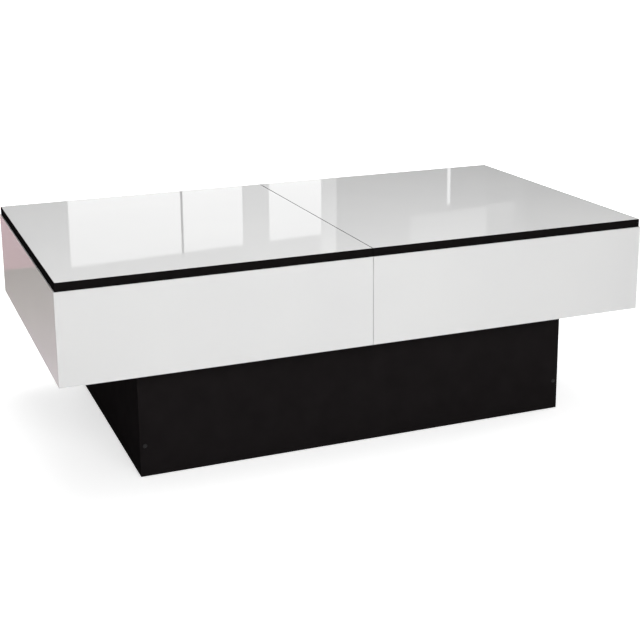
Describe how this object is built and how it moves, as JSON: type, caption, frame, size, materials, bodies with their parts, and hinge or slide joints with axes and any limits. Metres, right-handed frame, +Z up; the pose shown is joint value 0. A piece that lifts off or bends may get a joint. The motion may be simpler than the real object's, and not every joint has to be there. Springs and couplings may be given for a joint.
{
  "type": "sliding top coffee table",
  "caption": "Low coffee table whose gloss white half tops and aprons slide apart on ball-bearing runners over a black storage tray on a plinth.",
  "frame": {"origin": "on the floor under the middle of the closed table", "axes": "+X along the length to the right, the front faces -Y, +Z up"},
  "size_m": [1.1, 0.6, 0.375],
  "materials": {
    "white_lacquer": "high-gloss white lacquer on board",
    "black_edging": "black plastic edge strip",
    "black_board": "black satin melamine on board",
    "tray_board": "charcoal black melamine with a fine grain, on board",
    "pine": "planed softwood",
    "zinc_steel": "bright zinc plated sheet steel",
    "fastener_steel": "zinc plated steel",
    "die_cast_zinc": "die-cast zinc, a little rough",
    "beech": "fluted beech left plain",
    "ball_steel": "polished bearing steel",
    "cage_steel": "pressed zinc plated steel",
    "black_plastic": "matt black moulding",
    "rubber": "soft black rubber"
  },
  "bodies": {
    "base": {"plinth_front_panel": "black_board", "plinth_back_panel": "black_board", "plinth_left_panel": "black_board", "plinth_right_panel": "black_board", "plinth_corner_screws": "fastener_steel", "plinth_screw_caps": "black_plastic", "plinth_dowels": "beech", "floor_glides": "black_plastic", "front_fixing_batten": "pine", "back_fixing_batten": "pine", "batten_screws": "fastener_steel", "tray_floor": "tray_board", "tray_front_wall": "tray_board", "tray_back_wall": "tray_board", "tray_left_wall": "tray_board", "tray_right_wall": "tray_board", "tray_floor_screws": "fastener_steel", "tray_corner_screws": "fastener_steel", "left_front_outer_runner": "zinc_steel", "left_back_outer_runner": "zinc_steel", "right_front_outer_runner": "zinc_steel", "right_back_outer_runner": "zinc_steel", "outer_runner_screws": "fastener_steel"},
    "left_half": {"left_top_panel": "white_lacquer", "left_edge_band": "black_edging", "left_front_apron": "white_lacquer", "left_back_apron": "white_lacquer", "left_end_apron": "white_lacquer", "left_corner_brackets": "zinc_steel", "left_bracket_screws": "fastener_steel", "left_cam_nuts": "die_cast_zinc", "left_cam_bolts": "fastener_steel", "left_apron_dowels": "beech", "left_front_inner_runner": "zinc_steel", "left_back_inner_runner": "zinc_steel", "left_inner_runner_screws": "fastener_steel", "left_bumpers": "rubber"},
    "left_cages": {"left_front_ball_cage": "cage_steel", "left_front_balls": "ball_steel", "left_back_ball_cage": "cage_steel", "left_back_balls": "ball_steel"},
    "right_half": {"right_top_panel": "white_lacquer", "right_edge_band": "black_edging", "right_front_apron": "white_lacquer", "right_back_apron": "white_lacquer", "right_end_apron": "white_lacquer", "right_corner_brackets": "zinc_steel", "right_bracket_screws": "fastener_steel", "right_cam_nuts": "die_cast_zinc", "right_cam_bolts": "fastener_steel", "right_apron_dowels": "beech", "right_front_inner_runner": "zinc_steel", "right_back_inner_runner": "zinc_steel", "right_inner_runner_screws": "fastener_steel"},
    "right_cages": {"right_front_ball_cage": "cage_steel", "right_front_balls": "ball_steel", "right_back_ball_cage": "cage_steel", "right_back_balls": "ball_steel"}
  },
  "joints": [
    {"name": "left_slide", "type": "slide", "parent": "base", "child": "left_half", "axis": [-1, 0, 0], "range_m": [0, 0.28]},
    {"name": "left_cage_roll", "type": "slide", "parent": "base", "child": "left_cages", "axis": [-1, 0, 0], "range_m": [0, 0.14]},
    {"name": "right_slide", "type": "slide", "parent": "base", "child": "right_half", "axis": [1, 0, 0], "range_m": [0, 0.28]},
    {"name": "right_cage_roll", "type": "slide", "parent": "base", "child": "right_cages", "axis": [1, 0, 0], "range_m": [0, 0.14]}
  ],
  "couplings": [
    {"joint": "left_cage_roll", "follows": "left_slide", "ratio": 0.5},
    {"joint": "right_cage_roll", "follows": "right_slide", "ratio": 0.5}
  ]
}
